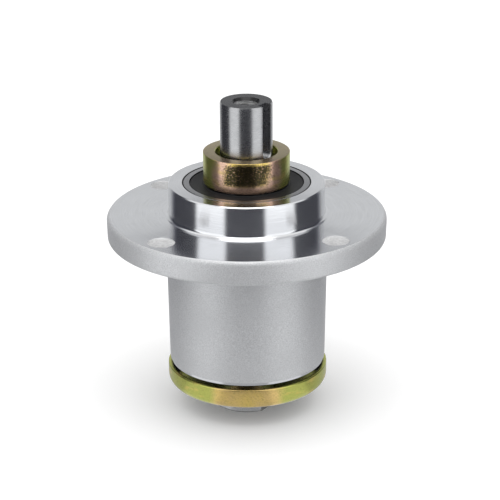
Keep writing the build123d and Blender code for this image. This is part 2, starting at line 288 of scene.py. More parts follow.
def section(*corners):
    """Points of a half section. A corner is (radius, height) or (radius, height, round)."""
    points = []
    for index, corner in enumerate(corners):
        here = Vector(corner[:2])
        if len(corner) == 2:
            points.append(here)
            continue
        back = (Vector(corners[index - 1][:2]) - here).normalized()
        ahead = (Vector(corners[(index + 1) % len(corners)][:2]) - here).normalized()
        half = back.angle(ahead) / 2
        centre = here + (back + ahead).normalized() * corner[2] / math.sin(half)
        start = here + back * corner[2] / math.tan(half) - centre
        end = here + ahead * corner[2] / math.tan(half) - centre
        points += arc(centre, start, end)
    return points


def arc(centre, start, end):
    """Points of an arc about centre, from centre + start to centre + end"""
    sweep = start.angle(end)
    side = (end - start * math.cos(sweep)) / math.sin(sweep)
    count = max(2, math.ceil(sweep / ROUND_STEP))
    turns = [sweep * step / count for step in range(count + 1)]
    return [centre + start * math.cos(turn) + side * math.sin(turn) for turn in turns]


# Modelling


def select_only(piece):
    """Nothing but this piece is selected and active"""
    bpy.ops.object.select_all(action="DESELECT")
    piece.select_set(True)
    bpy.context.view_layer.objects.active = piece


def seed(name, point):
    """A new piece that is one vertex at the point, selected in edit mode"""
    bpy.ops.object.select_all(action="DESELECT")
    bpy.ops.mesh.primitive_plane_add(size=CUT_MARGIN)
    piece = bpy.context.object
    piece.name = name
    piece.data.name = name
    bpy.ops.object.mode_set(mode="EDIT")
    bpy.context.tool_settings.mesh_select_mode = (True, False, False)
    bpy.ops.mesh.select_all(action="SELECT")
    bpy.ops.mesh.merge(type="CENTER")
    bpy.ops.transform.translate(value=point)
    return piece


def draw(name, points, closed):
    """A new piece that is the section's line in the XZ plane, selected in edit mode"""
    places = [Vector((radius, 0, height)) for radius, height in points]
    if closed:
        places.append(places[0])
    piece = seed(name, places[0])
    for before, after in zip(places, places[1:]):
        bpy.ops.mesh.extrude_region_move(TRANSFORM_OT_translate={"value": after - before})
    bpy.ops.mesh.select_all(action="SELECT")
    bpy.ops.mesh.remove_doubles(threshold=MERGE_DISTANCE)
    bpy.ops.mesh.select_all(action="SELECT")
    return piece


def close_up():
    """In edit mode, merges doubles and turns all faces outwards"""
    bpy.ops.mesh.select_all(action="SELECT")
    bpy.ops.mesh.remove_doubles(threshold=MERGE_DISTANCE)
    bpy.ops.mesh.normals_make_consistent(inside=False)
    bpy.ops.object.mode_set(mode="OBJECT")


def turned(name, points, closed=True):
    """A piece turned on the axis from its half section. An open section begins and ends on the axis."""
    piece = draw(name, points, closed)
    bpy.ops.mesh.spin(steps=TURN_STEPS, angle=math.tau, center=(0, 0, 0), axis=(0, 0, 1))
    close_up()
    return piece


def cut(piece, tool):
    """Takes the tool's shape out of the piece, and removes the tool"""
    select_only(piece)
    bpy.ops.object.modifier_add(type="BOOLEAN")
    boolean = piece.modifiers[-1]
    boolean.operation = "DIFFERENCE"
    boolean.solver = "EXACT"
    boolean.object = tool
    count = len(piece.data.polygons)
    bpy.ops.object.modifier_apply(modifier=boolean.name)
    if len(piece.data.polygons) == count:
        raise RuntimeError(f"{tool.name} cut nothing from {piece.name}")
    select_only(tool)
    bpy.ops.object.delete()


def thread_tool(name, major, drill, pitch, low, height):
    """The groove of a thread as a tool: its 60 degree section wound round the axis from low, over height"""
    crest = pitch / 16
    inner = drill - mm(0.1)
    flank = (major - inner) * math.tan(math.radians(30))
    points = section(
        (inner, low - crest - flank), (major, low - crest),
        (major, low + crest), (inner, low + crest + flank),
    )
    tool = draw(name, points, closed=True)
    bpy.ops.object.mode_set(mode="OBJECT")
    bpy.ops.object.modifier_add(type="SCREW")
    screw = tool.modifiers[-1]
    screw.axis = "Z"
    screw.screw_offset = pitch
    screw.iterations = math.ceil(height / pitch)
    screw.steps = HOLE_STEPS
    screw.render_steps = HOLE_STEPS
    bpy.ops.object.modifier_apply(modifier=screw.name)
    bpy.ops.object.mode_set(mode="EDIT")
    bpy.ops.mesh.select_all(action="DESELECT")
    bpy.ops.mesh.select_non_manifold()
    bpy.ops.mesh.fill_holes(sides=4)
    close_up()
    return tool


def slot_tool(name, width, low, high, near, far, flare):
    """A keyway cutter along Z: rounded at its low end, from near to far along X, its last part flared"""
    bpy.ops.object.select_all(action="DESELECT")
    centre = Vector((near, 0, low + width / 2))
    bpy.ops.mesh.primitive_circle_add(
        vertices=HOLE_STEPS, radius=width / 2, fill_type="NGON", location=centre, rotation=(0, math.pi / 2, 0)
    )
    tool = bpy.context.object
    tool.name = name
    bpy.ops.object.transform_apply(location=True, rotation=True, scale=True)
    bpy.context.tool_settings.mesh_select_mode = (True, False, False)
    bpy.ops.object.mode_set(mode="EDIT")
    bpy.ops.mesh.select_all(action="DESELECT")
    bpy.ops.object.mode_set(mode="OBJECT")
    for vertex in tool.data.vertices:
        vertex.select = vertex.co.z > centre.z - MERGE_DISTANCE
    bpy.ops.object.mode_set(mode="EDIT")
    bpy.ops.transform.translate(value=(0, 0, high - low))
    bpy.ops.mesh.select_all(action="SELECT")
    bpy.ops.mesh.extrude_region_move(TRANSFORM_OT_translate={"value": (flare - near, 0, 0)})
    bpy.ops.mesh.extrude_region_move(TRANSFORM_OT_translate={"value": (far - flare, 0, 0)})
    growth = 1 + (far - flare) / (width / 2)
    bpy.ops.transform.resize(value=(1, growth, growth), center_override=(far, 0, centre.z))
    close_up()
    return tool


def block_tool(name, low, high):
    """A square cutter between two corners, its edges broken a little"""
    low, high = Vector(low), Vector(high)
    bpy.ops.object.select_all(action="DESELECT")
    bpy.ops.mesh.primitive_cube_add(size=1, location=(low + high) / 2)
    tool = bpy.context.object
    tool.name = name
    tool.scale = high - low
    bpy.ops.object.transform_apply(location=True, rotation=True, scale=True)
    bpy.ops.object.mode_set(mode="EDIT")
    bpy.ops.mesh.select_all(action="SELECT")
    bpy.ops.mesh.bevel(offset=mm(0.3), segments=3)
    close_up()
    return tool


def paint(piece, finish, wanted):
    """Gives a finish to the faces whose centre and normal are wanted"""
    select_only(piece)
    piece.data.materials.append(finish)
    piece.active_material_index = len(piece.data.materials) - 1
    bpy.context.tool_settings.mesh_select_mode = (False, False, True)
    bpy.ops.object.mode_set(mode="EDIT")
    bpy.ops.mesh.select_all(action="DESELECT")
    bpy.ops.object.mode_set(mode="OBJECT")
    for face in piece.data.polygons:
        face.select = wanted(face.center, face.normal)
    bpy.ops.object.mode_set(mode="EDIT")
    bpy.ops.object.material_slot_assign()
    bpy.ops.object.mode_set(mode="OBJECT")


def reach(centre):
    """How far a face's centre is from the axis"""
    return math.hypot(centre.x, centre.y)


def everywhere(centre, normal):
    """All faces, for paint"""
    return True


def hand_over(piece, body, slot, *nodes):
    """Smooths a finished piece, lets it ride on its body and stand for its CAD nodes"""
    select_only(piece)
    bpy.ops.object.shade_smooth_by_angle(angle=SMOOTH_ANGLE)
    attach(piece, body)
    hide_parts(*nodes)
    piece.select_set(False)


# Finishes


class Wire:
    """A node's output. Arithmetic on it adds Math nodes."""

    def __init__(self, finish, socket):
        self.finish = finish
        self.socket = socket

    def math(self, operation, *values):
        return self.finish.node("ShaderNodeMath", {"operation": operation}, dict(enumerate(values)))

    def __add__(self, other):
        return self.math("ADD", self, other)

    def __mul__(self, other):
        return self.math("MULTIPLY", self, other)

    def __sub__(self, other):
        return self.math("SUBTRACT", self, other)

    def __rsub__(self, other):
        return self.math("SUBTRACT", other, self)

    def __truediv__(self, other):
        return self.math("DIVIDE", self, other)

    def __pow__(self, other):
        return self.math("POWER", self, other)

    __radd__ = __add__
    __rmul__ = __mul__

    def over(self, low, high):
        """0 below low, 1 above high and smooth between them"""
        values = {"Value": self, "From Min": low, "From Max": high}
        return self.finish.node("ShaderNodeMapRange", {"interpolation_type": "SMOOTHSTEP"}, values)


class Finish:
    """A material while its nodes are laid out"""

    def __init__(self, name, tree=None):
        self.material = None
        if tree is None:
            self.material = bpy.data.materials.new(name)
            self.material.use_nodes = True
            tree = self.material.node_tree
        self.tree = tree
        self.tree.nodes.clear()

    def node(self, kind, settings=None, values=None, output=0):
        """Adds a node with its settings, then the values or wires of its inputs. Returns one output, if any."""
        node = self.tree.nodes.new(kind)
        for key, value in (settings or {}).items():
            setattr(node, key, value)
        for key, value in (values or {}).items():
            if isinstance(value, Wire):
                self.tree.links.new(value.socket, node.inputs[key])
            else:
                node.inputs[key].default_value = value
        if output is None:
            return None
        return Wire(self, node.outputs[output])

    def place(self):
        """The object coordinates, and their X, Y and Z"""
        spot = self.node("ShaderNodeTexCoord", output="Object")
        apart = self.node("ShaderNodeSeparateXYZ", values={"Vector": spot}).socket.node.outputs
        return spot, Wire(self, apart[0]), Wire(self, apart[1]), Wire(self, apart[2])

    def stretch(self, spot, times):
        """The coordinates with their Z this many times closer, so that a pattern lies flatter"""
        return self.node("ShaderNodeMapping", None, {"Vector": spot, "Scale": (1, 1, times)})

    def noise(self, spot, size, detail=2.0, output="Fac"):
        """Noise whose features are about this size in metres"""
        values = {"Vector": spot, "Scale": 1 / size, "Detail": detail}
        return self.node("ShaderNodeTexNoise", {"noise_dimensions": "3D"}, values, output)

    def mix(self, factor, first, second, blend="MIX"):
        """Colour first where the factor is 0 and second where it is 1"""
        settings = {"data_type": "RGBA", "blend_type": blend}
        return self.node("ShaderNodeMix", settings, {0: factor, 6: first, 7: second}, 2)

    def bump(self, height, distance, strength=1.0, normal=None):
        """A bumped normal from a height of 0 to 1, this deep in metres"""
        values = {"Height": height, "Distance": distance, "Strength": strength}
        if normal is not None:
            values["Normal"] = normal
        return self.node("ShaderNodeBump", None, values)

    def metal(self, values):
        """Ends the material in a surface with these inputs, of metal unless they say otherwise"""
        surface = self.node("ShaderNodeBsdfPrincipled", None, {"Metallic": 1.0, **values})
        self.node("ShaderNodeOutputMaterial", None, {"Surface": surface}, None)
        return self.material


def rgb(tint, gain=1.0):
    """A colour property as a socket value"""
    return (tint[0] * gain, tint[1] * gain, tint[2] * gain, 1.0)


def lathe_lines(finish, size, turns=3.0):
    """Fine lines that run round the axis, as a lathe or a grinder leaves them, from 0 to 1"""
    spot, x, y, z = finish.place()
    radius = (x * x + y * y) ** 0.5
    turn = y.math("ARCTAN2", y, x)
    cell = finish.node("ShaderNodeCombineXYZ", None, {"X": radius / size, "Y": z / size, "Z": turn * turns})
    return finish.node("ShaderNodeTexNoise", None, {"Vector": cell, "Scale": 1.0, "Detail": 2.0}, "Fac")


def spots(finish, spot, size, low, high):
    """1 inside scattered spots, from cells of this size, 0 outside"""
    values = {"Vector": spot, "Scale": 1 / size, "Randomness": 1.0}
    near = finish.node("ShaderNodeTexVoronoi", {"feature": "F1"}, values, "Distance")
    return 1 - near.over(low, high)


def turned_aluminium(tint, size):
    """Turned aluminium, its lathe lines deeper on the boss's wall"""
    finish = Finish("turned_aluminium")
    spot, x, y, z = finish.place()
    lines = lathe_lines(finish, mm(0.35))
    haze = finish.noise(spot, mm(14), 3.0)
    nicks = spots(finish, spot, mm(5.5), 0.015, 0.04)
    tone = finish.mix(lines.over(0.25, 0.75), rgb(tint, 0.93), rgb(tint, 1.04))
    tone = finish.mix(haze.over(0.35, 0.75) * 0.25, tone, rgb(tint, 0.86))
    tone = finish.mix(nicks * 0.7, tone, rgb(tint, 0.35))
    relief = finish.bump(lines - nicks * 1.5, mm(0.003), 0.4)
    radius = (x * x + y * y) ** 0.5
    wall = radius.over(size.boss_radius - mm(0.3), size.boss_radius - mm(0.1))
    below_edge = 1 - z.over(size.boss_height - mm(0.6), size.boss_height - mm(0.4))
    wall = wall * z.over(mm(0.6), mm(2.2)) * below_edge
    rough = lines * 0.04 + haze * 0.04 + 0.105 + wall * 0.05
    return finish.metal({"Base Color": tone, "Roughness": rough, "Normal": relief,
                         "Anisotropic": 0.8, "Anisotropic Rotation": 0.25})


def cast_aluminium(tint, face_radius):
    finish = Finish("cast_aluminium")
    spot, x, y, z = finish.place()
    grain = finish.noise(spot, mm(0.5), 3.0)
    lumps = finish.noise(spot, mm(2.6), 2.0)
    cloud = finish.noise(spot, mm(22), 3.0)
    pits = spots(finish, spot, mm(2.2), 0.05, 0.14)
    radius = (x * x + y * y) ** 0.5
    edge = radius.over(face_radius - mm(0.6), face_radius + mm(0.5)) * z.over(mm(-4.5), mm(-0.4))
    # Painted glints: near-white specks painted along the rim's top edge, with a little less roughness there
    painted_glints = spots(finish, spot, mm(1.0), 0.08, 0.3) * edge
    tone = finish.mix(grain.over(0.3, 0.7), rgb(tint, 0.84), rgb(tint, 1.08))
    tone = finish.mix(cloud.over(0.3, 0.75) * 0.5, tone, rgb(tint, 0.86))
    tone = finish.mix(pits * 0.5, tone, rgb(tint, 0.5))
    tone = finish.mix(painted_glints * 0.55, tone, CAST_PAINTED_GLINT)
    relief = finish.bump(grain, mm(0.05), 0.55)
    relief = finish.bump(lumps - pits * 0.8, mm(0.12), 0.5, relief)
    rough = grain * 0.12 + cloud * 0.06 + 0.48 - painted_glints * 0.15
    return finish.metal({"Base Color": tone, "Metallic": 0.65, "Roughness": rough, "Normal": relief})


def drilled_aluminium(tint):
    finish = Finish("drilled_aluminium")
    spot, x, y, z = finish.place()
    scores = finish.noise(finish.stretch(spot, 6), mm(1.6), 3.0)
    grain = finish.noise(spot, mm(0.5), 2.0)
    tone = finish.mix(scores.over(0.3, 0.7), rgb(tint, 0.82), rgb(tint, 1.08))
    # Painted shade: the bolt holes' walls darken towards the bottom of the holes
    tone = finish.mix(z.over(mm(-10), mm(-4)), rgb(tint, 0.45), tone)
    relief = finish.bump(scores * 0.7 + grain * 0.5, mm(0.1), 0.6)
    rough = grain * 0.15 + 0.45
    return finish.metal({"Base Color": tone, "Metallic": 0.0, "Roughness": rough, "Normal": relief})


def ground_steel(name, tint):
    finish = Finish(name)
    spot = finish.place()[0]
    lines = lathe_lines(finish, mm(0.22), 5.0)
    haze = finish.noise(spot, mm(7), 3.0)
    pits = spots(finish, spot, mm(3.4), 0.03, 0.075)
    tone = finish.mix(lines.over(0.3, 0.7), rgb(tint, 0.9), rgb(tint, 1.1))
    tone = finish.mix(haze.over(0.4, 0.7) * 0.3, tone, rgb(tint, 0.82))
    tone = finish.mix(pits * 0.85, tone, rgb(tint, 0.25))
    relief = finish.bump(lines - pits * 2.0, mm(0.003), 0.5)
    rough = lines * 0.06 + haze * 0.08 + 0.2
    return finish.metal({"Base Color": tone, "Roughness": rough, "Normal": relief,
                         "Anisotropic": 0.4, "Anisotropic Rotation": 0.25})


def bearing_steel(tint):
    finish = Finish("bearing_steel")
    spot = finish.place()[0]
    lines = lathe_lines(finish, mm(0.18), 4.0)
    haze = finish.noise(spot, mm(5), 2.0)
    tone = finish.mix(lines.over(0.3, 0.7), rgb(tint, 0.9), rgb(tint, 1.08))
    relief = finish.bump(lines, mm(0.004), 0.4)
    return finish.metal({"Base Color": tone, "Roughness": haze * 0.1 + 0.24, "Normal": relief})


def plain_steel(name, tint):
    finish = Finish(name)
    spot = finish.place()[0]
    grain = finish.noise(spot, mm(0.8), 3.0)
    cloud = finish.noise(spot, mm(8), 2.0)
    tone = finish.mix(cloud.over(0.3, 0.7), rgb(tint, 0.85), rgb(tint, 1.1))
    relief = finish.bump(grain, mm(0.01), 0.4)
    return finish.metal({"Base Color": tone, "Roughness": grain * 0.15 + 0.28, "Normal": relief})


def zinc_tone(finish, tints, rose_share, green_from):
    """Yellow chromate over zinc: gold in front and green round the sides, with a rose band where they meet"""
    spot, x, y, z = finish.place()
    flow = finish.noise(spot, mm(17), 2.0)
    wash = finish.noise(finish.stretch(spot, 2.5), mm(9), 2.0)
    speckle = finish.noise(spot, mm(0.7), 3.0)
    turn = x.math("ARCTAN2", x, -1 * y)
    side = turn.math("ABSOLUTE", turn) + (flow - 0.5) * 0.5
    soft = math.radians(7)
    rose_from = green_from - math.radians(19)
    rose = side.over(rose_from - soft, rose_from + soft) * rose_share
    tone = finish.mix(rose, rgb(tints.zinc_gold), rgb(tints.zinc_rose))
    tone = finish.mix(side.over(green_from - soft, green_from + soft), tone, rgb(tints.zinc_green))
    tone = finish.mix(wash.over(0.52, 0.68) * 0.5, tone, rgb(tints.zinc_gold))
    tone = finish.mix(speckle.over(0.45, 0.7) * 0.3, tone, rgb(tints.zinc_green, 0.55))
    return tone, side, speckle


def zinc_surface(finish, tone, speckle):
    """Ends a zinc material in its satin metal"""
    stain = spots(finish, finish.place()[0], mm(2.4), 0.06, 0.2)
    tone = finish.mix(stain * 0.3, tone, ZINC_STAIN)
    relief = finish.bump(speckle, mm(0.01), 0.35)
    rough = speckle * 0.1 + 0.19
    return finish.metal({"Base Color": tone, "Roughness": rough, "Metallic": 0.9, "Normal": relief})


def cup_zinc(tints):
    finish = Finish("cup_zinc")
    tone, side, speckle = zinc_tone(finish, tints, 0.2, math.radians(24))
    return zinc_surface(finish, tone, speckle)


def collar_zinc(tints, size):
    """The collar's zinc, brown and darker on its top face as a painted dark reflection, with a dark speckled
    patch on its front that is a painted dark reflection strewn with painted rose glints
    """
    finish = Finish("collar_zinc")
    tone, side, speckle = zinc_tone(finish, tints, 0.9, math.radians(48))
    spot, x, y, z = finish.place()
    # Painted reflection: the top face is tinted darker brown, standing in for the dark surroundings it reflects
    tone = finish.mix(z.over(size.top - mm(0.12), size.top - mm(0.02)) * 0.85, tone, rgb(tints.zinc_top_reflection))
    front = 1 - side.over(math.radians(20), math.radians(42))
    low = 1 - z.over(size.bottom + mm(3), size.bottom + mm(6))
    tone = finish.mix(front * low * 0.8, tone, rgb(tints.zinc_rose, 1.15))
    # Painted reflection: a near-black patch on the front between the foot band and the top edge, its border
    # broken by fine noise
    patch = front * (1 - low) * (1 - z.over(size.top - mm(2), size.top - mm(0.2)))
    fine = finish.noise(spot, mm(0.3), 3.0)
    patch = (patch + (fine - 0.5) * 3.0).over(0.15, 0.75)
    tone = finish.mix(patch * 0.97, tone, rgb(tints.zinc_front_reflection))
    # Painted glints: fine rose specks strewn over the front
    painted_rose_glints = finish.noise(spot, mm(0.5), 1.0).over(0.66, 0.7)
    tone = finish.mix(painted_rose_glints * front * 0.8, tone, rgb(tints.zinc_rose))
    return zinc_surface(finish, tone, speckle)


def seal_rubber(name, tint):
    finish = Finish(name)
    spot = finish.place()[0]
    grain = finish.noise(spot, mm(0.35), 2.0)
    dust = finish.noise(spot, mm(3), 4.0)
    tone = finish.mix(dust.over(0.5, 0.8) * 0.5, rgb(tint), rgb(tint, 2.2))
    relief = finish.bump(grain, mm(0.01), 0.35)
    return finish.metal({"Base Color": tone, "Metallic": 0.0, "Specular IOR Level": 0.14,
                         "Roughness": grain * 0.15 + 0.42, "Normal": relief})


def floor_paper(settings):
    """White paper. The camera and the mirrors in the metal see it whiter than the light it sends on."""
    finish = Finish("floor_paper")
    spot = finish.place()[0]
    path = finish.node("ShaderNodeLightPath").socket.node.outputs
    seen = Wire(finish, path["Is Camera Ray"]) + Wire(finish, path["Is Glossy Ray"])
    seen = seen + Wire(finish, path["Is Transmission Ray"])
    seen = seen.math("MINIMUM", seen, 1.0)
    tooth = finish.noise(spot, mm(4), 2.0)
    paper = finish.mix(tooth, PAPER_DARK, PAPER_LIGHT)
    tone = finish.mix(seen, paper, rgb((settings.floor_white,) * 3))
    lift = finish.mix(seen, BLACK, rgb((settings.floor_lift,) * 3))
    return finish.metal({"Base Color": tone, "Metallic": 0.0, "Specular IOR Level": 0.0, "Roughness": 1.0,
                         "Emission Color": lift, "Emission Strength": 1.0})


def screen_light(settings):
    """The screens' glow: bright bars in front, dark sides and a pale back, white in front high up.

    The ring on the floor glows too, brighter close to the spindle. Only reflections show any of it.
    """
    finish = Finish("screen_light")
    spot, x, y, z = finish.place()
    turn = x.math("ARCTAN2", x, -1 * y)
    turn = turn.math("ABSOLUTE", turn + settings.bar_shift)
    radius = (x * x + y * y) ** 0.5
    soft = math.radians(3)
    bars = turn.over(settings.bar_inner - soft, settings.bar_inner + soft)
    bars = bars * (1 - turn.over(settings.bar_outer - soft, settings.bar_outer + soft))
    back = turn.over(settings.back_angle - soft * 4, settings.back_angle + soft * 4)
    middle, far = radius.over(mm(80), mm(112)), radius.over(mm(115), mm(190))
    dark = settings.near_strength - middle * (settings.near_strength - settings.middle_strength)
    dark = dark - far * (settings.middle_strength - settings.dark_strength)
    glow = bars * (far * 0.6 + 0.4) * (settings.bar_strength - dark) + dark
    lit = z.over(settings.front_low, settings.front_high)
    glow = glow + lit * (1 - glow)
    behind = settings.back_strength * (1 - z.over(settings.back_low, settings.back_high) * 0.65)
    glow = glow + back * (behind - glow)
    path = finish.node("ShaderNodeLightPath").socket.node.outputs
    bounced = Wire(finish, path["Diffuse Depth"])
    glow = glow * (1 - bounced.math("MINIMUM", bounced, 1.0))
    hue = finish.mix(glow.over(0.0, 0.5), SCREEN_BLUE, SCREEN_WHITE)
    tone = finish.mix(glow / settings.bar_strength, BLACK, hue)
    return finish.metal({"Base Color": BLACK, "Metallic": 0.0, "Specular IOR Level": 0.0,
                         "Emission Color": tone, "Emission Strength": settings.bar_strength})


# Pieces


class SPINDLE_OT_housing(bpy.types.Operator):
    """Turns the housing, drills its bolt holes and gives it its cast and turned finishes"""

    bl_idname = "spindle.housing"
    bl_label = "Housing"

    def execute(self, context):
        size = context.scene.spindle_housing
        tints = context.scene.spindle_colours
        rim_in = size.rim_round - (size.flange_radius - size.face_radius)
        rim_drop = math.sqrt(size.rim_round**2 - rim_in**2)
        rim_centre = Vector((size.flange_radius - size.rim_round, -rim_drop))
        rim = arc(rim_centre, Vector((size.face_radius, 0)) - rim_centre, Vector((size.rim_round, 0)))
        cast_end = -size.flange_thickness - size.barrel_length
        bottom = cast_end - size.band_height
        top = size.boss_height
        points = section(
            (size.seat_radius, bottom + size.seat_lead),
            (size.seat_radius, size.lower_seat_top),
            (size.core_radius, size.lower_seat_top),
            (size.core_radius, size.upper_seat_base),
            (size.seat_radius, size.upper_seat_base),
            (size.seat_radius, top - size.seat_lead),
            (size.seat_radius + size.seat_lead, top),
            (size.boss_radius - size.boss_edge, top),
            (size.boss_radius, top - size.boss_edge),
            (size.boss_radius, 0, size.boss_root),
            *rim,
            (size.rim_under_radius, -size.flange_thickness, size.rim_under_round),
            (size.barrel_radius, -size.flange_thickness, size.barrel_root),
            (size.barrel_end_radius, cast_end),
            (size.band_radius, cast_end),
            (size.band_radius, bottom + size.band_edge),
            (size.band_radius - size.band_edge, bottom),
            (size.seat_radius + size.seat_lead, bottom),
        )
        housing = turned("housing_casting", points)
        hole, edge = size.bolt_hole, size.bolt_hole_edge
        mouth = hole + edge + CUT_MARGIN
        low, high = -size.flange_thickness - CUT_MARGIN, CUT_MARGIN
        drill = section((0, low), (hole, low), (hole, -edge), (mouth, high), (0, high))
        for number in range(BOLT_HOLES):
            turn = size.bolt_angle + number * math.tau / BOLT_HOLES
            tool = turned("bolt_drill", drill, closed=False)
            tool.location = (size.bolt_circle * math.cos(turn), size.bolt_circle * math.sin(turn), 0)
            cut(housing, tool)

        def in_bolt_hole(centre, normal):
            inside_face = size.boss_radius + size.boss_root < reach(centre) < size.face_radius
            return inside_face and abs(normal.z) < 0.3 and centre.z > -size.flange_thickness

        def cast(centre, normal):
            outside = reach(centre) > size.band_radius + mm(0.1)
            return outside and cast_end < centre.z < -mm(0.02) and not in_bolt_hole(centre, normal)

        def core(centre, normal):
            return reach(centre) < size.core_radius + mm(0.05)

        def seat_mouth(centre, normal):
            beside = size.seat_radius < reach(centre) < size.seat_radius + size.seat_lead
            return beside and centre.z > top - size.seat_lead

        paint(housing, turned_aluminium(tints.turned, size), everywhere)
        # The upper seat's lead chamfer is painted near-black as painted shade
        paint(housing, seal_rubber("seat_painted_shade", tints.painted_shade), seat_mouth)
        rough = cast_aluminium(tints.cast, size.face_radius)
        paint(housing, rough, cast)
        paint(housing, rough, core)
        paint(housing, drilled_aluminium(tints.bored), in_bolt_hole)
        hand_over(housing, "housing", "cast_aluminium", "housing")
        return {"FINISHED"}


class SPINDLE_OT_shaft(bpy.types.Operator):
    """Turns the shaft, taps both ends, mills the keyway and the wrench flats"""

    bl_idname = "spindle.shaft"
    bl_label = "Shaft"

    def execute(self, context):
        size = context.scene.spindle_shaft
        tints = context.scene.spindle_colours
        slope = math.tan(size.drill_point / 2)
        top, bottom = size.stub_top, size.head_bottom
        points = section(
            (0, top - size.top_depth - size.top_drill / slope),
            (size.top_drill, top - size.top_depth),
            (size.top_drill, top - size.top_sink + size.top_drill),
            (size.top_sink, top),
            (size.stub_radius - size.stub_edge_width, top),
            (size.stub_radius, top - size.stub_edge_depth),
            (size.stub_radius, size.journal_top),
            (size.journal_radius - size.journal_edge, size.journal_top),
            (size.journal_radius, size.journal_top - size.journal_edge),
            (size.journal_radius, size.thrust_top),
            (size.thrust_radius, size.thrust_top),
            (size.thrust_radius, size.thrust_bottom),
            (size.head_radius, size.thrust_bottom),
            (size.head_radius, bottom + size.head_edge),
            (size.head_radius - size.head_edge, bottom),
            (size.blade_sink, bottom),
            (size.blade_drill, bottom + size.blade_sink - size.blade_drill),
            (size.blade_drill, bottom + size.blade_depth),
            (0, bottom + size.blade_depth + size.blade_drill / slope),
        )
        shaft = turned("shaft_steel", points, closed=False)
        cut(shaft, thread_tool("top_tap", size.top_major, size.top_drill, size.top_pitch,
                               top - size.top_threaded, size.top_threaded + CUT_MARGIN))
        cut(shaft, thread_tool("blade_tap", size.blade_major, size.blade_drill, size.blade_pitch,
                               bottom - CUT_MARGIN, size.blade_threaded + CUT_MARGIN))
        flare = math.sqrt(size.stub_radius**2 - size.key_width**2 / 4) - size.key_deburr
        keyway = slot_tool("keyway_mill", size.key_width, size.key_end, top + CUT_MARGIN * 2,
                           size.key_floor, size.stub_radius + CUT_MARGIN, flare)
        keyway.rotation_euler.z = size.key_angle
        cut(shaft, keyway)
        wide = size.head_radius + CUT_MARGIN
        for side in (0, math.pi):
            flat = block_tool("flat_mill", (size.flat_distance, -wide, bottom - CUT_MARGIN),
                              (wide, wide, bottom + size.flat_length))
            flat.rotation_euler.z = size.flat_angle + side
            cut(shaft, flat)

        def end_face(centre, normal):
            return normal.z > 0.6 and centre.z > top - size.top_sink + size.top_drill

        def top_thread(centre, normal):
            return reach(centre) < size.top_major + mm(0.05) and centre.z > top - size.top_threaded

        def countersink(centre, normal):
            return end_face(centre, normal) and normal.z < 0.9 and reach(centre) < size.top_sink

        paint(shaft, ground_steel("ground_steel", tints.ground), everywhere)
        # The top thread's flanks get a near-white painted highlight
        paint(shaft, plain_steel("thread_painted_highlight", tints.thread_highlight), top_thread)
        # The flat top face is painted dark as a painted reflection
        paint(shaft, ground_steel("end_face_painted_reflection", tints.end_face_reflection), end_face)
        # The countersink's cone is painted near-black as painted shade
        paint(shaft, ground_steel("countersink_painted_shade", tints.countersink_shade), countersink)
        hand_over(shaft, "spindle", "ground_steel", "spindle_shaft")
        return {"FINISHED"}


class SPINDLE_OT_collar(bpy.types.Operator):
    """Turns the yellow-zinc collar that stands on the upper bearing"""

    bl_idname = "spindle.collar"
    bl_label = "Top collar"

    def execute(self, context):
        size = context.scene.spindle_collar
        tints = context.scene.spindle_colours
        edge = size.top_edge
        points = section(
            (size.bore, size.bottom + edge),
            (size.bore, size.top - edge),
            (size.bore + edge, size.top),
            (size.radius, size.top, edge),
            (size.radius, size.bottom, size.bottom_round),
            (size.bore + edge, size.bottom),
        )
        collar = turned("collar_zinc", points)
        paint(collar, collar_zinc(tints, size), everywhere)
        hand_over(collar, "spindle", "yellow_zinc", "top_collar")
        return {"FINISHED"}


class SPINDLE_OT_cup(bpy.types.Operator):
    """Spins the pressed dust cup round the barrel's lower end"""

    bl_idname = "spindle.cup"
    bl_label = "Dust cup"

    def execute(self, context):
        size = context.scene.spindle_cup
        tints = context.scene.spindle_colours
        floor, under = size.floor_top, size.floor_top - size.sheet
        rim = floor + size.rim_height
        inside = size.radius - size.sheet
        points = section(
            (size.hole_radius, under),
            (size.radius, under, size.corner_round),
            (size.radius, rim, size.rim_round),
            (inside, rim, size.rim_round),
            (inside, floor, size.corner_round - size.sheet),
            (size.hole_radius, floor),
        )
        cup = turned("cup_zinc", points)

        # Painted shade: the cup's inner wall below the rim is painted near-black
        def within(centre, normal):
            outward = centre.x * normal.x + centre.y * normal.y
            return outward < 0 and reach(centre) < inside and centre.z < rim - mm(1)

        paint(cup, cup_zinc(tints), everywhere)
        paint(cup, seal_rubber("cup_painted_shade", tints.painted_shade), within)
        hand_over(cup, "spindle", "yellow_zinc", "dust_cup")
        return {"FINISHED"}


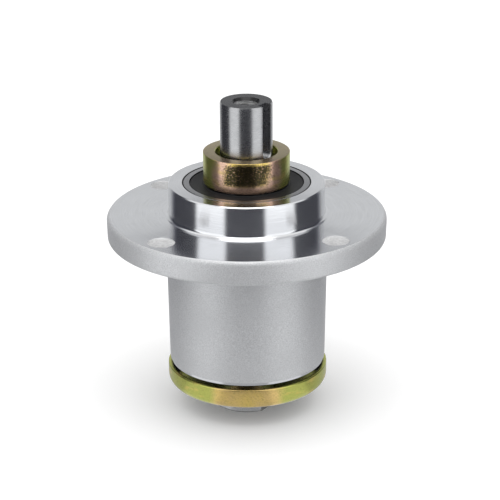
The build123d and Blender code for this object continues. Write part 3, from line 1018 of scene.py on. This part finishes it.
class SPINDLE_OT_bearings(bpy.types.Operator):
    """Turns both bearings' outer rings and moulds their seals"""

    bl_idname = "spindle.bearings"
    bl_label = "Bearings"

    def execute(self, context):
        size = context.scene.spindle_bearings
        tints = context.scene.spindle_colours
        steel = bearing_steel(tints.bearing)
        rubber = seal_rubber("seal_rubber", tints.rubber)
        painted_shade = seal_rubber("groove_painted_shade", tints.painted_shade)
        half = size.width / 2
        for side, base in (("upper", size.upper_base), ("lower", size.lower_base)):
            middle = base + half
            ring = turned(f"{side}_outer_race", self.outer_ring(size, middle))
            paint(ring, steel, everywhere)
            corner = middle + half - size.corner

            # Painted shade: the outer ring's top outer corner is painted near-black where it meets the housing
            def in_groove(centre, normal):
                return reach(centre) > size.outer_radius - size.corner / 2 and centre.z > corner

            paint(ring, painted_shade, in_groove)
            hand_over(ring, "housing", "bearing_steel", f"{side}_outer_ring")
            for face, direction in (("top", 1), ("bottom", -1)):
                seal = turned(f"{side}_{face}_shield", self.seal(size, middle, direction))
                paint(seal, rubber, everywhere)
                hand_over(seal, "housing", "seal_rubber", f"{side}_{face}_seal")
        return {"FINISHED"}

    @staticmethod
    def outer_ring(size, middle):
        """Half section of an outer ring with its ball groove and both seal grooves"""
        half = size.width / 2
        ledge = half - size.groove_depth
        edge = ledge + size.bead_height
        groove_bottom = size.pitch_radius + size.ball_radius + size.race_clearance
        centre = Vector((groove_bottom - size.groove_radius, middle))
        rise = math.sqrt(size.groove_radius**2 - (size.outer_land - centre.x) ** 2)
        deep = Vector((size.groove_radius, 0))
        low = arc(centre, Vector((size.outer_land - centre.x, -rise)), deep)
        high = arc(centre, deep, Vector((size.outer_land - centre.x, rise)))
        return section(
            (size.outer_land, middle - ledge),
            *low,
            *high[1:],
            (size.outer_land, middle + ledge),
            (size.groove_outer, middle + ledge),
            (size.groove_outer, middle + edge),
            (size.mouth_radius, middle + edge),
            (size.mouth_radius, middle + half),
            (size.outer_radius, middle + half, size.corner),
            (size.outer_radius, middle - half, size.corner),
            (size.mouth_radius, middle - half),
            (size.mouth_radius, middle - edge),
            (size.groove_outer, middle - edge),
            (size.groove_outer, middle - ledge),
        )

    @staticmethod
    def seal(size, middle, direction):
        """Half section of a seal whose face looks up or down, with two moulded grooves and a soft bead"""
        half = size.width / 2
        ledge = half - size.groove_depth
        face = half - size.seal_recess
        back = face - size.seal_thickness
        lip = size.inner_land + size.lip_clearance
        step = size.seal_rib
        heights = (
            (lip, back), (lip, face - step * 0.5), (lip + step, face),
            (lip + step * 7, face), (lip + step * 8, face - step), (lip + step * 10, face - step),
            (lip + step * 11, face - step * 0.4), (size.seal_radius - step * 9, face - step * 0.4),
            (size.seal_radius - step * 8, face), (size.seal_radius - step, face),
            (size.seal_radius, face - step), (size.seal_radius, ledge + size.bead_height),
            (size.groove_outer, ledge + size.bead_height), (size.groove_outer, ledge),
            (size.outer_land, ledge), (size.outer_land, back),
        )
        return [Vector((radius, middle + direction * height)) for radius, height in heights]


class SPINDLE_OT_inner_parts(bpy.types.Operator):
    """Gives the CAD pieces that stay inside the bearings and the housing their finishes"""

    bl_idname = "spindle.inner_parts"
    bl_label = "Inner parts"

    def execute(self, context):
        tints = context.scene.spindle_colours
        plain = plain_steel("plain_steel", tints.plain)
        steel = bearing_steel(tints.bearing)
        for name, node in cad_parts.items():
            finish = None
            if "cage" in name or name == "spacer_tube":
                finish = plain
            if "ball" in name or "inner_ring" in name:
                finish = steel
            if finish is not None:
                for place in node.material_slots:
                    place.material = finish
        return {"FINISHED"}


class SPINDLE_OT_stage(bpy.types.Operator):
    """Lays the floor, stands the screens and the lamp, and sets up the camera"""

    bl_idname = "spindle.stage"
    bl_label = "Stage"

    def execute(self, context):
        settings = context.scene.spindle_stage
        self.floor(settings)
        self.screens(settings)
        self.lamp(settings)
        self.camera(context, settings)
        self.world(context, settings)
        context.scene.view_settings.view_transform = "Standard"
        return {"FINISHED"}

    @staticmethod
    def floor(settings):
        bpy.ops.object.select_all(action="DESELECT")
        bpy.ops.mesh.primitive_circle_add(
            vertices=FLOOR_STEPS, radius=FLOOR_RADIUS, fill_type="NGON", location=(0, 0, FLOOR_HEIGHT)
        )
        floor = bpy.context.object
        floor.name = "floor"
        bpy.ops.object.mode_set(mode="EDIT")
        bpy.ops.mesh.inset(thickness=1)
        bpy.ops.object.mode_set(mode="OBJECT")
        floor.data.materials.append(floor_paper(settings))

    @staticmethod
    def screens(settings):
        low = FLOOR_HEIGHT + SCREEN_LIFT
        outer = settings.screen_radius
        points = section((SCREEN_HOLE, low), (outer, low), (outer, settings.screen_height))
        screen = turned("screens", points, closed=False)
        screen.data.materials.append(screen_light(settings))
        screen.visible_camera = False
        screen.visible_diffuse = False
        screen.visible_shadow = False

    @staticmethod
    def lamp(settings):
        bpy.ops.object.light_add(type="AREA", location=LAMP_PLACE)
        lamp = bpy.context.object
        lamp.name = "top_lamp"
        lamp.data.shape = "RECTANGLE"
        lamp.data.size = LAMP_WIDTH
        lamp.data.size_y = LAMP_DEPTH
        lamp.data.energy = settings.top_power
        lamp.rotation_euler = (-lamp.location).to_track_quat("-Z", "Y").to_euler()

    @staticmethod
    def camera(context, settings):
        place = Matrix.Translation((settings.camera_right, -settings.camera_back, settings.camera_up))
        pitch = Matrix.Rotation(math.pi / 2 - settings.camera_pitch, 4, "X")
        roll = Matrix.Rotation(settings.camera_roll, 4, "Z")
        bpy.ops.object.camera_add()
        camera = bpy.context.object
        camera.name = "photo_camera"
        camera.matrix_world = place @ pitch @ roll
        camera.data.sensor_width = SENSOR_WIDTH
        camera.data.lens = settings.camera_lens
        context.scene.camera = camera

    @staticmethod
    def world(context, settings):
        world = bpy.data.worlds.new("white_room")
        world.use_nodes = True
        room = Finish("white_room", world.node_tree)
        light = {"Color": (1, 1, 1, 1), "Strength": settings.world_strength}
        sky = room.node("ShaderNodeBackground", None, light)
        room.node("ShaderNodeOutputWorld", None, {"Surface": sky}, None)
        context.scene.world = world


PIECES = (
    SPINDLE_OT_housing,
    SPINDLE_OT_shaft,
    SPINDLE_OT_collar,
    SPINDLE_OT_cup,
    SPINDLE_OT_bearings,
    SPINDLE_OT_inner_parts,
    SPINDLE_OT_stage,
)


class SPINDLE_PT_panel(bpy.types.Panel):
    """Lists the pieces of the spindle and the stage"""

    bl_idname = "SPINDLE_PT_panel"
    bl_label = "Mower deck spindle"
    bl_space_type = "VIEW_3D"
    bl_region_type = "UI"
    bl_category = "Spindle"

    def draw(self, context):
        column = self.layout.column(align=True)
        for piece in PIECES:
            column.operator(piece.bl_idname)


SETTINGS = {
    "spindle_housing": HousingSizes,
    "spindle_shaft": ShaftSizes,
    "spindle_collar": CollarSizes,
    "spindle_cup": CupSizes,
    "spindle_bearings": BearingSizes,
    "spindle_colours": FinishColours,
    "spindle_stage": StageSettings,
}


def register():
    for name, group in SETTINGS.items():
        bpy.utils.register_class(group)
        setattr(bpy.types.Scene, name, bpy.props.PointerProperty(type=group))
    for piece in PIECES:
        bpy.utils.register_class(piece)
    bpy.utils.register_class(SPINDLE_PT_panel)


def unregister():
    bpy.utils.unregister_class(SPINDLE_PT_panel)
    for piece in reversed(PIECES):
        bpy.utils.unregister_class(piece)
    for name, group in SETTINGS.items():
        delattr(bpy.types.Scene, name)
        bpy.utils.unregister_class(group)


def main():
    register()
    bpy.ops.spindle.housing()
    bpy.ops.spindle.shaft()
    bpy.ops.spindle.collar()
    bpy.ops.spindle.cup()
    bpy.ops.spindle.bearings()
    bpy.ops.spindle.inner_parts()
    bpy.ops.spindle.stage()


if __name__ == "__main__":
    main()
